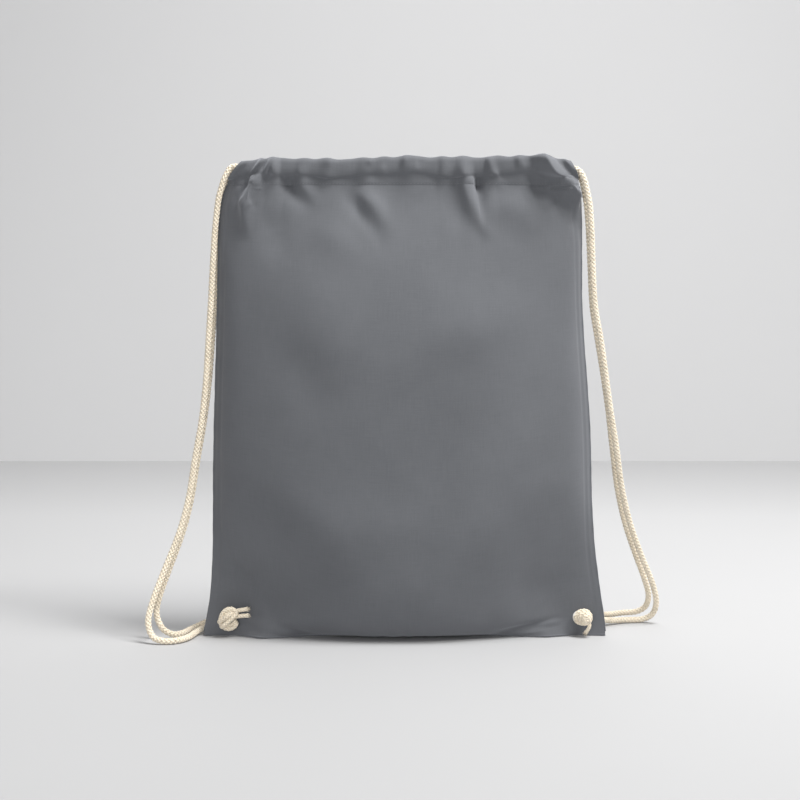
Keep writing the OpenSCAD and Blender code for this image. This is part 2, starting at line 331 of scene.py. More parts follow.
def nickel():
    """Satin nickel with faint marks and a little tarnish."""
    material, tree, shader = new_material("satin_nickel", {"Roughness": 0.3, "Metallic": 1.0})
    worn = noise(tree, mapped(tree, output="Object"), 700.0, 4.0)
    coloured(tree, shader, worn, (0.48, 0.46, 0.42), (0.70, 0.68, 0.64))
    rough = math_node(tree, "ADD", math_node(tree, "MULTIPLY", worn, 0.3), 0.18)
    tree.links.new(rough, shader.inputs["Roughness"])
    bumped(tree, shader, worn, 0.2, 0.00005)
    return material


CLOTH = cotton_cloth()
CORD = cotton_cord()
THREAD = sewing_thread()
METAL = nickel()

# ---- camera ----

camera_data = bpy.data.cameras.new("camera")
camera_data.lens = 71.0
camera_data.sensor_width = 36.0
camera = bpy.data.objects.new("camera", camera_data)
bpy.context.scene.collection.objects.link(camera)


def aim(obj, place, target):
    obj.location = place
    obj.rotation_euler = (Vector(target) - Vector(place)).to_track_quat("-Z", "Y").to_euler()


aim(camera, (-0.0042, -1.5, 0.29), (-0.0042, -0.015, 0.2265))
bpy.context.scene.camera = camera

# ---- cords ----

# Each strand from the casing's end round the hanging loop to the eyelet, in mm, as in the CAD model.
ROUTES = {
    "left_front": [
        (-162.4, -3.6, 449), (-166.3, -4.4, 444.5), (-170, -5, 436), (-172.5, -5, 426.5),
        (-175.5, -5, 415), (-178.5, -5, 390), (-181, -5, 355), (-183, -5, 320),
        (-185.5, -5, 283), (-188, -5.5, 245), (-192, -7, 208), (-198.5, -9, 170),
        (-204.5, -12, 132), (-213, -17, 100), (-226, -24, 66), (-236, -31, 38),
        (-239.5, -36, 20), (-234.5, -41, 7), (-224, -44, 3.4), (-213, -41, 3.4),
        (-205, -29, 3.4), (-201.5, -15, 3.4), (-200, -3, 3.4), (-196.5, 7, 4.5),
        (-190, 12.5, 7), (-181.5, 13.5, 10.5), (-173, 10, 13.5), (-168, 5.8, 14.5)],
    "left_back": [
        (-162.4, 3.6, 449), (-166, 4.3, 444.5), (-169.2, 4.6, 436), (-171.5, 4.3, 426.5),
        (-174.5, 3.8, 415), (-177, 3, 390), (-179, 2.5, 355), (-180.5, 2.5, 320),
        (-183, 2.5, 283), (-186, 2, 245), (-190.5, 1, 208), (-197, -0.5, 170),
        (-203, -3, 132), (-211, -6, 100), (-223, -11, 66), (-232, -15, 40),
        (-234.5, -17, 24), (-229, -18, 10.5), (-219.5, -14, 4), (-211.5, -4, 3.4),
        (-207.5, 8, 4), (-201, 17, 6), (-191, 21.5, 10), (-180, 20, 16), (-172, 14, 21),
        (-168, 5.8, 21.5)],
    "right_front": [
        (160, -3.6, 444.5), (165, -4.2, 442), (169, -4.2, 435.5), (171.5, -3.5, 427),
        (175, -3, 410), (177, -2, 385), (178.5, -0.5, 350), (181, 1, 315), (187, 4, 283),
        (192.5, 7, 248), (198, 11, 213), (204, 16, 180), (211, 24, 138), (221, 34, 102),
        (233, 43, 71), (244.5, 52, 45), (250.5, 59, 24), (248, 64, 10), (238, 67, 3.8),
        (222, 65, 3.4), (206, 56, 4.5), (192, 41, 8), (180, 23, 12), (172, 11, 14),
        (168, 5.8, 14.5)],
    "right_back": [
        (160, 3.6, 444.5), (164.4, 4.2, 442), (168, 4.5, 435.5), (170.3, 5, 427),
        (173.3, 5.5, 410), (175.5, 6.5, 385), (177.5, 8, 350), (179.8, 10.5, 315),
        (185.3, 13.5, 283), (191.5, 16.5, 248), (197, 20.5, 213), (201.5, 26, 180),
        (208, 34.5, 138), (217, 44.5, 103), (228.5, 54.5, 72), (239.5, 65, 45),
        (245, 73, 27), (243, 79.5, 14.5), (234, 83, 8.5), (220, 82, 7.5),
        (205.5, 72.5, 7.5), (193, 55, 10.5), (181, 34, 16), (172, 16, 21), (168, 5.8, 21.5)],
}

# The braid, in mm, for a cord of radius CORD_R.
CORD_R = CORD_D / 2 / MM
YARNS = 4                   # yarns each way round the braid
BRAID_LAY = 15.5            # cord in one turn of a yarn
YARN_REACH = 1.98           # a yarn's middle from the cord's, and how far it moves where yarns cross
YARN_CROSSING = 0.45
YARN_WIDE = 1.22            # half a yarn's width and thickness
YARN_THICK = 0.68
CORE_R = 1.9
RING_STEP = 0.5             # between a yarn's rings
YARN_RING = 6               # corners of the section of a yarn, and of the core
CORE_RING = 10


def route_line(points, step):
    """A smooth line through given points, in mm: (places, distance along, distance at each point)."""
    points = np.array(points, float)
    fine = cubic(points, np.linspace(0, len(points) - 1, 40 * len(points)))
    far = distances(fine)
    n = max(8, int(round(far[-1] / step)) + 1)
    along = np.linspace(0, far[-1], n)
    line = np.stack([np.interp(along, far, fine[:, k]) for k in range(3)], 1)
    at_points = np.interp(np.linspace(0, 1, len(points)), np.linspace(0, 1, len(fine)), far)
    return line, along, at_points


def carried_frames(line):
    """Tangents and two directions square to them, carried along the line without twist."""
    tangent = unit(np.gradient(line, axis=0))
    side = np.empty_like(line)
    start = np.cross(tangent[0], (0.0, 1.0, 0.2))
    side[0] = start / np.linalg.norm(start)
    for i in range(1, len(line)):
        s = side[i - 1] - tangent[i] * np.dot(side[i - 1], tangent[i])
        side[i] = s / np.linalg.norm(s)
    return tangent, side, np.cross(tangent, side)


def tube_faces(rings, sides):
    """Quads round a tube whose rings are numbered one after another, with both ends closed."""
    faces = []
    for first in range(0, (rings - 1) * sides, sides):
        for c in range(sides):
            d = (c + 1) % sides
            faces.append((first + c, first + d, first + sides + d, first + sides + c))
    last = (rings - 1) * sides
    return faces + [tuple(range(sides))[::-1], tuple(range(last, last + sides))]


def circles(sides, a, b, turned=0.0):
    """A ring of directions for each row of a and b, in their plane."""
    around = TAU * (np.arange(sides) + turned) / sides
    return np.cos(around)[None, :, None] * a[:, None] + np.sin(around)[None, :, None] * b[:, None]


def tube_uv(round_tube, along_tube):
    """A tube's uv, from the places round one ring and the distance of each ring."""
    return np.stack(np.broadcast_arrays(round_tube[None], along_tube[:, None]), -1).reshape(-1, 2)


def braided(line, along, radius=CORD_R, spread=1.0):
    """Points in metres, faces and uv of a braided cord along a line in mm: yarns over a core.

    spread scales the cord's radius along the line, as where it is squeezed or frays.
    """
    _, side, other = carried_frames(line)
    size = radius / CORD_R * spread * np.ones(len(line))
    turn = TAU * along / (BRAID_LAY * radius / CORD_R)
    yarn_faces = tube_faces(len(line), YARN_RING)
    parts = []
    for way in (1, -1):
        for k in range(YARNS):
            angle = way * turn + TAU * k / YARNS
            out = np.cos(angle)[:, None] * side + np.sin(angle)[:, None] * other
            reach = size * (YARN_REACH + way * YARN_CROSSING * np.cos(YARNS * turn))
            middle = line + reach[:, None] * out
            run = unit(np.gradient(middle, axis=0))
            wide = unit(np.cross(run, out))
            ring = circles(YARN_RING, wide * YARN_WIDE, np.cross(wide, run) * YARN_THICK, 0.5)
            points = middle[:, None] + ring * size[:, None, None]
            uv = tube_uv(np.arange(YARN_RING) / YARN_RING + k, along)
            parts.append((points.reshape(-1, 3) * MM, yarn_faces, uv))
    core = np.arange(0, len(line), 3)
    core[-1] = len(line) - 1
    ring = circles(CORE_RING, side[core], other[core]) * CORE_R
    points = line[core][:, None] + ring * size[core][:, None, None]
    uv = tube_uv(np.arange(CORE_RING) / CORE_RING, along[core])
    parts.append((points.reshape(-1, 3) * MM, tube_faces(len(core), CORE_RING), uv))
    return parts


def cord_piece(name, line, along, first, last):
    """The stretch of a braided cord between two distances along its line."""
    inside = (along >= first - 1e-6) & (along <= last + 1e-6)
    return make_joined(name, braided(line[inside], along[inside]), CORD), line[inside] * MM


def along_line(piece, line_m):
    """For each vertex of a piece, the share of the way along its line."""
    co = vertices(piece)
    nearest = np.empty(len(co), int)
    for i in range(0, len(co), 4000):
        gap = ((co[i:i + 4000, None] - line_m[None, ::4]) ** 2).sum(2)
        nearest[i:i + 4000] = gap.argmin(1)
    return nearest / (len(line_m[::4]) - 1)


def strand(name):
    """One strand of a strap with its run through the casing: three pieces of one braid."""
    side_name, layer = name.split("_")
    s = SIDES[side_name]
    y = CASING_Y / MM * (-1 if layer == "front" else 1)
    z = RUN_Z[side_name]
    left = side_name == "left"
    ends = (2.0, 3.6) if left else (0, 0)
    # through the casing, a little lower where the left cord comes out
    lead = [(-s * 146, y, z - 1), (-s * 125, y, z - 0.3), (-s * 100, y, z), (-s * 50, y, z), (0, y, z),
            (s * 50, y, z), (s * 100, y, z), (s * 136, y, z - 0.6 * ends[0]),
            (s * 146.5, y * 0.97, z - ends[0]), (s * 152, y * 0.7, z - ends[1])]
    lead = [(px, py, pz - LEFT_LOWER * smooth_step(-px / 40)) for px, py, pz in lead]
    # the left cord hangs a little lower than its CAD route at the casing's end
    hang = 3.0 if left else 0.0
    route = [(px, py, pz - hang * smooth_step((pz - 428) / 14)) for px, py, pz in ROUTES[name]]
    line, along, at = route_line(lead + route, RING_STEP)
    starts = at[len(lead)]
    cut = at[len(lead) + STRAP_CUT]

    run, _ = cord_piece(f"{side_name}_cord_{layer}_run_braid", line, along, 0, starts)
    bend(run, open_share(vertices(run)))
    stands_for(f"{side_name}_cord_{layer}_run")

    strap = f"{side_name}_strap_{layer}"
    rise, path = cord_piece(f"{strap}_rise_braid", line, along, starts, cut)
    bend(rise, smooth_step((0.446 - vertices(rise)[:, 2]) / 0.06))
    stands_for(f"{strap}_rise")

    loop, path = cord_piece(f"{strap}_loop_braid", line, along, cut, at[-1])
    share = along_line(loop, path)
    pulled = smooth_step(share / 0.45) * smooth_step((1 - share) / 0.35)
    bend(loop, pulled)
    stands_for(f"{strap}_loop")


def cord_turn(side_name):
    """Where a cord turns back past the casing's far end."""
    s = -SIDES[side_name]
    y = CASING_Y / MM
    z = RUN_Z[side_name] - 1 - LEFT_LOWER * (s < 0)
    half = [(s * (146 + y * 0.95 * math.cos(a)), y * math.sin(a), z - 2.2 * math.cos(a))
            for a in np.linspace(-math.pi / 2, math.pi / 2, 9)]
    line, along, _ = route_line([(s * 143, -y, z), *half, (s * 143, y, z)], RING_STEP)
    piece, _ = cord_piece(f"{side_name}_cord_turn_braid", line, along, 0, along[-1])
    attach(piece, "bag")
    stands_for(f"{side_name}_cord_turn")


for strand_name in ROUTES:
    strand(strand_name)
for side_name in SIDES:
    cord_turn(side_name)

# ---- knots ----


def knot_line(side_name, points):
    """A knot's line from points about the eyelet's middle: right, towards the front, up."""
    place = np.array([SIDES[side_name] * EYELET_X / MM, 0, EYELET_Z / MM])
    return [tuple(place + (x, -y, z)) for x, y, z in points]


def fibres(end, direction, count, long, seed):
    """Loose fibres at a cut end: thin three-sided spikes. end and direction in mm."""
    random = np.random.default_rng(seed)
    parts = []
    for _ in range(count):
        start = end + random.normal(0, 0.9, 3)
        way = unit(direction + random.normal(0, 0.35, 3))
        side = unit(np.cross(way, random.normal(0, 1, 3)))
        line = np.array([start + way * long * t * random.uniform(0.6, 1.1)
                         + side * 0.5 * long * t * t for t in (-0.3, 0.2, 0.6, 1.0)])
        _, a, b = carried_frames(line)
        width = 0.16 * np.array([1, 1, 0.8, 0.3])[:, None, None]
        points = (line[:, None] + circles(3, a, b) * width).reshape(-1, 3) * MM
        parts.append((points, tube_faces(4, 3), tube_uv(np.arange(3) / 3, np.arange(4.0))))
    return parts


KNOTS = {
    # two strands drawn up together in an overhand knot; both tails point to the right
    "left": {
        "radius": 2.4,
        "bodies": [
            [(0, 2, -1.8), (1, 5, -1), (6, 7, -2), (7.5, 8.5, -6), (2, 9.5, -9.5), (-4.5, 10.5, -7.5),
             (-6.5, 11.5, -2), (-5, 11.5, 4.5), (-0.5, 12, 9), (5, 12.5, 9.5), (8, 13, 5.5),
             (4.5, 15.2, 1.5), (0, 15.6, -2.5), (-3.5, 14.5, -5.8), (-5.5, 11, -7), (-2, 7.5, -5),
             (2, 6.5, -1), (6, 8, 4), (9, 9, 6)],
            [(0, 2, 1.8), (2, 5, 2), (6, 8, -1), (5, 10, -4.8), (0, 11, -5.6), (-3, 12, -2),
             (-1.5, 12.5, 3.6), (2.5, 13, 6), (4.2, 14.6, 5.6), (0.5, 16, 3.4), (-3.5, 15, 0.5),
             (-7.5, 12, -2.5), (-5.5, 8, -2), (0, 7, 2), (6, 9, 2.5)],
        ],
        "tails": [
            [(4, 9, 4), (8.5, 9.6, 7.4), (13.5, 10, 8.6), (19, 10, 9.4)],
            [(3, 9, 1.5), (8.5, 10.4, 2.4), (14, 10.8, 3), (19.4, 10.6, 3.4)],
        ],
        "tail_radius": 2.1,
        "fray": 1.3,
    },
    # a round ball; one tail hangs down in front
    "right": {
        "radius": 2.7,
        "bodies": [
            [(0, 2, 0), (0.6, 5, 0.4), (-2.6, 6, 4.4), (1.6, 6.2, 6.2), (6.2, 6.4, 4.2), (7.2, 6.8, -1.2),
             (2.2, 7, -4.4), (-3.3, 7.2, -2.6), (-4.3, 7.8, 1.8), (-1, 8.6, 5.8), (4.8, 9, 6.8),
             (8.3, 9.6, 2.8), (7.5, 10.4, -2.2), (3.1, 11, -3.8), (-0.9, 11.4, -0.2), (0, 12, 3.8),
             (3.8, 12.8, 5.2), (6.7, 13.2, 2.4), (5.9, 13.6, -1), (2.9, 14, -1.2), (2.4, 14.4, 1.4),
             (4.2, 14.6, 2.4), (4.8, 13, 0.8)],
        ],
        "tails": [
            [(6.4, 9, -1.4), (7.9, 10, -4.8), (7.6, 10.4, -8), (6, 9.8, -11), (4.4, 8.6, -13.6)],
        ],
        "tail_radius": 1.9,
        "fray": 2.5,
    },
}


def knot(side_name):
    """The knot in front of an eyelet, its cut ends, and the two strands in the eyelet's bore."""
    made = KNOTS[side_name]
    tie = f"{side_name}_tie"
    parts = []
    for points in made["bodies"]:
        line, along, _ = route_line(knot_line(side_name, points), RING_STEP)
        parts += braided(line, along, made["radius"])
    body = make_joined(f"{side_name}_knot_braid", parts, CORD)
    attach(body, tie)
    stands_for(f"{side_name}_knot")

    parts = []
    for k, points in enumerate(made["tails"]):
        line, along, _ = route_line(knot_line(side_name, points), RING_STEP)
        frayed = 1 + 0.12 * smooth_step((along - along[-1] + 3) / 3)
        parts += braided(line, along, made["tail_radius"], frayed)
        parts += fibres(line[-1], unit(line[-1] - line[-4]), 46, made["fray"], 11 + k)
    tails = make_joined(f"{side_name}_knot_tails_braid", parts, CORD)
    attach(tails, tie)
    stands_for(f"{side_name}_knot_tails")

    parts = []
    for z in (-3.5, 3.5):
        points = [(0, -5.8, z), (0, -4, z * 0.85), (0, -1.5, z * 0.57), (0, 1, z * 0.55),
                  (0, 4.2, z * 0.52)]
        line, along, _ = route_line(knot_line(side_name, points), RING_STEP)
        squeezed = 1 - 0.38 * smooth_step((along - 1) / 3)
        parts += braided(line, along, spread=squeezed)
    neck = make_joined(f"{side_name}_cord_neck_braid", parts, CORD)
    bend(neck, smooth_step((0.004 - vertices(neck)[:, 1]) / 0.006))
    stands_for(f"{side_name}_cord_neck")


for side_name in SIDES:
    knot(side_name)

# ---- the cloth ----

SIM_COLS, SIM_ROWS = 77, 90
SIM_FRAMES = 32
COTTON = {
    "quality": 6, "mass": 0.15, "tension_stiffness": 40, "compression_stiffness": 40,
    "shear_stiffness": 20, "bending_stiffness": 1.0, "uniform_pressure_force": 8.0,
}
SEAM_START_Z = 0.0015       # height of the bottom seam before the simulation
CALM_PASSES = 14
COLS, ROWS = 241, 281       # the finished panels' grid

# Pleats along the gathered stitch line: place, half width, depth (outwards positive), in mm.
PLEATS = [
    (-155, 6, 0.5), (-145, 5, -0.6), (-137, 6, 0.8), (-128, 5, -0.7), (-119, 6, 0.8), (-110, 6, -0.6),
    (-102, 7, 0.8), (-88, 9, -0.8), (-62, 10, 0.8), (-46, 8, -1.4), (-32, 9, 1.4), (-10, 10, -0.8),
    (8, 9, 1.2), (29, 5, -0.6), (42, 10, 0.8), (61, 6, 1.4), (70, 5, -2), (79, 6, 1.4),
    (96, 9, -0.8), (112, 8, 0.8), (130, 8, -0.5), (146, 8, 0.5),
]


def pleat_line(x):
    y = np.zeros_like(x)
    for at, wide, deep in PLEATS:
        y = y + deep * MM * np.exp(-((x / MM - at) / wide) ** 2)
    return y


def gathered_columns(n):
    """x of n columns along the gathered line, with the same cloth between each two."""
    x = np.linspace(TOP_LEFT, TOP_RIGHT, 4001)
    arc = distances(np.stack([x, pleat_line(x)], 1))
    return np.interp(np.linspace(0, arc[-1], n), arc, x)


def edge_x(z, side):
    """Where the left (side -1) or right edge is at height z. The lower corners reach out, and
    the drawn cords pull the upper ones in."""
    left = (0.1763 + 0.0055 * smooth_step((0.38 - z) / 0.25) + 0.0105 * np.exp(-(z / 0.035) ** 1.2)
            - 0.011 * (z / 0.433) ** 24)
    right = (0.1767 - 0.009 * smooth_step((z - 0.17) / 0.17) + 0.0155 * np.exp(-(z / 0.075) ** 1.5)
             - 0.003 * (z / 0.433) ** 24)
    return np.where(side < 0, -left, right)


def fitted(grid):
    """A settled panel with its bottom row on the floor and its two edges in their places."""
    grid = calmed(grid)
    grid[..., 2] -= (grid[0, :, 2] - 0.0013)[None] * np.clip(1 - grid[..., 2] / 0.09, 0, 1)
    s, t = np.meshgrid(np.linspace(-1, 1, grid.shape[1]), np.linspace(0, 1, grid.shape[0]))
    grid[..., 1] *= 0.2 + 0.8 * smooth_step((from_eyelet(s, t) - 0.010) / 0.15)
    for row in grid:
        for side in (-1, 1):
            end = row[0 if side < 0 else -1]
            half = row[:, 0] * side > 0
            row[half, 0] *= edge_x(max(end[2], 0.0), side) / end[0]
    return grid


def calmed(grid):
    """The settled panel with the small crumples of its lower part evened out."""
    grid = grid.copy()
    share = 1 - smooth_step((grid[1:-1, 1:-1, 2:] - 0.26) / 0.12)
    for _ in range(CALM_PASSES):
        around = (grid[:-2, 1:-1] + grid[2:, 1:-1] + grid[1:-1, :-2] + grid[1:-1, 2:]) / 4
        grid[1:-1, 1:-1] += (around - grid[1:-1, 1:-1]) * 0.8 * share
    return grid


def from_eyelet(s, t):
    """Distance in the flat cloth to the nearer eyelet's middle."""
    return np.hypot(np.abs(s) * HALF_WIDTH - EYELET_X, t * CLOTH_LENGTH - EYELET_Z)


def draped_start():
    """The front panel before it is simulated: a rounded lower edge, a bulge, and the gathered top."""
    s, t = np.meshgrid(np.linspace(-1, 1, SIM_COLS), np.linspace(0, 1, SIM_ROWS))
    lens = np.clip(1 - np.abs(s) ** 2.4, 0, 1) ** 0.7
    flat_top = np.clip(1 - np.abs(s) ** 14, 0, 1) ** 0.7
    depth = BULGE * lens
    r = np.minimum(BASE_ROUND, depth) + 1e-6
    run = depth - r
    arc = r * math.pi / 2
    gone = t * CLOTH_LENGTH
    angle = np.clip((gone - run) / r, 0, math.pi / 2)
    rise = np.clip((gone - run - arc) / (CLOTH_LENGTH - run - arc), 0, 1)
    z = SEAM_START_Z + r * (1 - np.cos(angle)) + rise * (STITCH_Z - SEAM_START_Z - r)
    y = np.minimum(gone, run) + r * np.sin(angle)
    top = TOP_DEPTH * flat_top
    y = np.where(rise > 0, depth + (top - depth) * rise ** 2.6, y)
    top_x = gathered_columns(SIM_COLS)[None]
    x = abs(s) * edge_x(z, np.sign(s)) * (1 - rise ** 5) + top_x * rise ** 5
    y = y + pleat_line(top_x) * flat_top * np.clip((rise - 0.8) / 0.2, 0, 1) ** 1.5
    flat = smooth_step((from_eyelet(s, t) - 0.012) / 0.06)
    y = y * flat + 0.0012 * (1 - flat)
    z = z * flat + (SEAM_START_Z + t * CLOTH_LENGTH) * (1 - flat)
    y[:, [0, -1]] = 0
    y[0] = 0
    rest = np.stack([s * HALF_WIDTH, 0 * s, t * CLOTH_LENGTH], -1)
    return np.stack([x, -y, z], -1), rest


def sewn(front, rest):
    """Both panels as one closed cloth: its points, its flat shape, its faces and its vertex numbers.
    The numbers are two grids, which share their sides and base."""
    rows, cols = front.shape[:2]
    number = np.arange(2 * rows * cols).reshape(2, rows, cols)
    number[1, 0] = number[0, 0]
    number[1, :, 0] = number[0, :, 0]
    number[1, :, -1] = number[0, :, -1]
    used, numbers = np.unique(number, return_inverse=True)
    numbers = numbers.reshape(number.shape)
    points = np.concatenate([front, front * (1, -1, 1)]).reshape(-1, 3)[used]
    flat = np.concatenate([rest, rest]).reshape(-1, 3)[used]
    faces = []
    for g, order in zip(numbers, (1, -1)):
        quads = np.stack([g[:-1, :-1], g[:-1, 1:], g[1:, 1:], g[1:, :-1]], -1).reshape(-1, 4)
        faces += quads[:, ::order].tolist()
    return points, flat, faces, numbers


def simulated(front, rest):
    """Both panels, sewn at the sides and base, settled as one cloth under the air inside them."""
    points, flat, faces, numbers = sewn(front, rest)
    bag = make("simulated_bag", points, faces, CLOTH)
    bag.shape_key_add(name="Basis")
    key = bag.shape_key_add(name="flat")
    key.data.foreach_set("co", flat.astype(np.float32).ravel())
    key.value = 0
    ear = np.hypot(np.abs(flat[:, 0]) - EYELET_X, flat[:, 2] - EYELET_Z) < 0.010
    pins = {*numbers[:, -1].ravel().tolist(), *np.where(ear)[0].tolist()}
    bag.vertex_groups.new(name="pin").add(sorted(pins), 1.0, "REPLACE")
    cloth = bag.modifiers.new("Cloth", "CLOTH")
    for setting, value in COTTON.items():
        setattr(cloth.settings, setting, value)
    cloth.settings.vertex_group_mass = "pin"
    cloth.settings.use_pressure = True
    cloth.settings.rest_shape_key = key
    cloth.settings.effector_weights.gravity = 0.2
    cloth.collision_settings.distance_min = 0.001
    cloth.point_cache.frame_end = SIM_FRAMES
    ground = square("simulated_floor", 1, (-1, 1), (0, 0), CLOTH)
    ground.modifiers.new("Collision", "COLLISION")
    ground.collision.thickness_outer = 0.001
    for at in range(1, SIM_FRAMES + 1):
        bpy.context.scene.frame_set(at)
    settled = vertices(bag.evaluated_get(bpy.context.evaluated_depsgraph_get())).astype(float)
    for made in (bag, ground):
        mesh = made.data
        bpy.data.objects.remove(made)
        bpy.data.meshes.remove(mesh)
    bpy.context.scene.frame_set(1)
    return settled[numbers[0]], settled[numbers[1]]


# Folds, listed one by one: points across and up in mm, half width, height (a valley is negative),
# and how much of the fold's length fades in and out.
FRONT_FOLDS = [
    ([(-116, 470), (-127, 453), (-140, 437), (-152, 421), (-162, 404)], 3.4, -5.4, 0.1, 0.5),
    ([(-124, 470), (-129, 453), (-133, 438), (-134, 420)], 2.6, -4.4, 0.1, 0.45),
    ([(-118, 470), (-113, 452), (-110, 434), (-102, 418), (-82, 402)], 7.0, -6.6, 0.1, 0.5),
    ([(-104, 450), (-96, 428), (-74, 404)], 7.0, 3.4, 0.4, 0.6),
    ([(-124, 470), (-132, 446), (-143, 424), (-149, 404), (-147, 374)], 5.0, 7.0, 0.2, 0.3),
    ([(-118, 466), (-123, 446), (-122, 424)], 4.2, 3.0, 0.2, 0.5),
    ([(-106, 476), (-123, 452), (-138, 430), (-150, 404), (-154, 374)], 14.0, 5.5, 0.2, 0.4),
    ([(-128, 466), (-142, 450), (-154, 437), (-166, 422)], 3.4, -3.0, 0.2, 0.4),
    ([(-140, 466), (-152, 449), (-166, 436)], 4.0, 2.0, 0.2, 0.4),
    ([(-152, 422), (-160, 396), (-166, 362)], 9.0, -1.6, 0.5, 0.5),
    ([(-128, 412), (-120, 380), (-104, 344)], 16.0, -2.4, 0.4, 0.5),
    ([(-114, 468), (-121, 453), (-127, 441), (-130, 428)], 2.2, -4.0, 0.1, 0.4),
    ([(-130, 468), (-139, 452), (-149, 438), (-158, 426)], 2.4, -3.6, 0.1, 0.4),
    ([(-122, 466), (-133, 450), (-142, 438)], 2.2, 2.4, 0.1, 0.5),
    ([(-102, 468), (-104, 452), (-104, 438), (-98, 426)], 2.8, -3.4, 0.1, 0.4),
    ([(-70, 466), (-70, 452), (-74, 442)], 4.0, 1.8, 0.2, 0.5),
    ([(-44, 468), (-46, 453), (-50, 442)], 3.2, -2.0, 0.1, 0.5),
    ([(-30, 468), (-32, 453), (-34, 444)], 3.4, 1.8, 0.1, 0.5),
    ([(-14, 468), (-16, 453), (-21, 442)], 3.0, -2.4, 0.1, 0.5),
    ([(2, 468), (0, 453), (-4, 442)], 3.4, 2.2, 0.1, 0.5),
    ([(14, 468), (15, 454), (12, 441)], 2.8, -2.4, 0.1, 0.5),
    ([(48, 468), (46, 453), (42, 442)], 3.2, -1.8, 0.1, 0.5),
    ([(-64, 430), (-46, 410), (-28, 384), (-12, 350)], 8.0, -3.0, 0.4, 0.6),
    ([(-48, 430), (-28, 406), (-8, 376)], 9.0, 3.6, 0.4, 0.6),
    ([(-92, 398), (-60, 372), (-30, 344)], 16.0, 2.2, 0.4, 0.6),
    ([(74, 468), (72, 448), (69, 430), (70, 414)], 3.2, -6.0, 0.1, 0.4),
    ([(52, 462), (56, 436), (61, 414), (70, 392), (86, 372)], 6.5, 6.0, 0.3, 0.5),
    ([(44, 436), (46, 404), (56, 372)], 10.0, -1.8, 0.4, 0.6),
    ([(76, 468), (80, 448), (86, 434), (98, 422)], 5.0, 3.6, 0.2, 0.5),
    ([(29, 466), (29, 446), (30, 424)], 4.0, -2.2, 0.2, 0.5),
    ([(22, 430), (8, 404), (-2, 370)], 9.0, -2.0, 0.4, 0.6),
    ([(80, 450), (96, 438), (118, 436)], 6.0, -3.2, 0.4, 0.5),
    ([(108, 486), (124, 462), (139, 442), (154, 427), (172, 411), (190, 396)], 8.6, 10.0, 0.15, 0.1),
    ([(126, 468), (133, 453), (139, 441), (153, 428), (166, 414), (180, 400)], 2.4, 2.0, 0.15, 0.15),
    ([(104, 452), (124, 432), (146, 413), (172, 394), (190, 384)], 11.0, -3.6, 0.4, 0.1),
    ([(80, 420), (106, 404), (140, 382)], 17.0, 4.0, 0.4, 0.6),
    ([(134, 466), (146, 450), (160, 436), (176, 424)], 3.0, -2.2, 0.15, 0.2),
    ([(142, 466), (154, 448), (168, 436)], 2.6, 1.8, 0.15, 0.3),
    ([(102, 470), (106, 454), (110, 442)], 4.0, 2.0, 0.2, 0.5),
    ([(112, 470), (115, 452), (120, 440)], 3.6, -1.8, 0.2, 0.5),
    ([(-168, 78), (-150, 60), (-132, 52)], 7.0, -2.0, 0.3, 0.6),
    ([(-176, 22), (-140, 12), (-104, 7)], 6.0, 1.6, 0.3, 0.5),
    ([(-126, 14), (-100, 6), (-70, 3)], 4.0, -1.8, 0.3, 0.5),
    ([(158, 15), (128, 11), (98, 6), (74, 2)], 4.5, -3.6, 0.2, 0.5),
    ([(164, 6), (130, 4), (104, 2)], 4.0, 1.6, 0.2, 0.5),
    ([(-150, 290), (0, 290), (150, 290)], 90.0, 9.0, 0.3, 0.3),
    ([(60, 120), (-20, 104), (-90, 112)], 22.0, 2.0, 0.5, 0.5),
    ([(120, 330), (60, 290), (-10, 276)], 26.0, 3.0, 0.5, 0.5),
    ([(-140, 300), (-90, 250), (-60, 190)], 24.0, -2.6, 0.5, 0.5),
    ([(150, 230), (110, 180), (90, 120)], 20.0, 2.2, 0.5, 0.5),
]
BACK_FOLDS = [
    ([(-134, 452), (-142, 428), (-154, 404)], 3.4, -3.0, 0.02, 0.35),
    ([(-120, 448), (-118, 416), (-104, 386)], 4.5, 3.0, 0.3, 0.4),
    ([(-96, 452), (-92, 422)], 3.2, -2.8, 0.02, 0.45),
    ([(-44, 452), (-40, 420), (-28, 390)], 3.8, -2.4, 0.02, 0.5),
    ([(-30, 440), (-20, 410), (-4, 376)], 5.0, 2.4, 0.3, 0.5),
    ([(24, 452), (20, 424)], 3.0, -2.2, 0.02, 0.5),
    ([(60, 440), (72, 410), (78, 380)], 5.0, 2.6, 0.3, 0.5),
    ([(90, 452), (92, 420), (104, 390)], 3.8, -3.0, 0.02, 0.4),
    ([(118, 446), (134, 424), (146, 392)], 4.4, 3.2, 0.2, 0.4),
    ([(132, 450), (150, 424)], 3.0, -3.0, 0.05, 0.4),
    ([(-172, 74), (-140, 50)], 5.0, -2.2, 0.3, 0.5),
    ([(172, 70), (142, 46)], 5.0, -2.4, 0.3, 0.5),
    ([(-100, 320), (-30, 290), (40, 296)], 18.0, 1.0, 0.5, 0.5),
    ([(110, 260), (70, 200), (60, 130)], 16.0, -0.9, 0.5, 0.5),
]


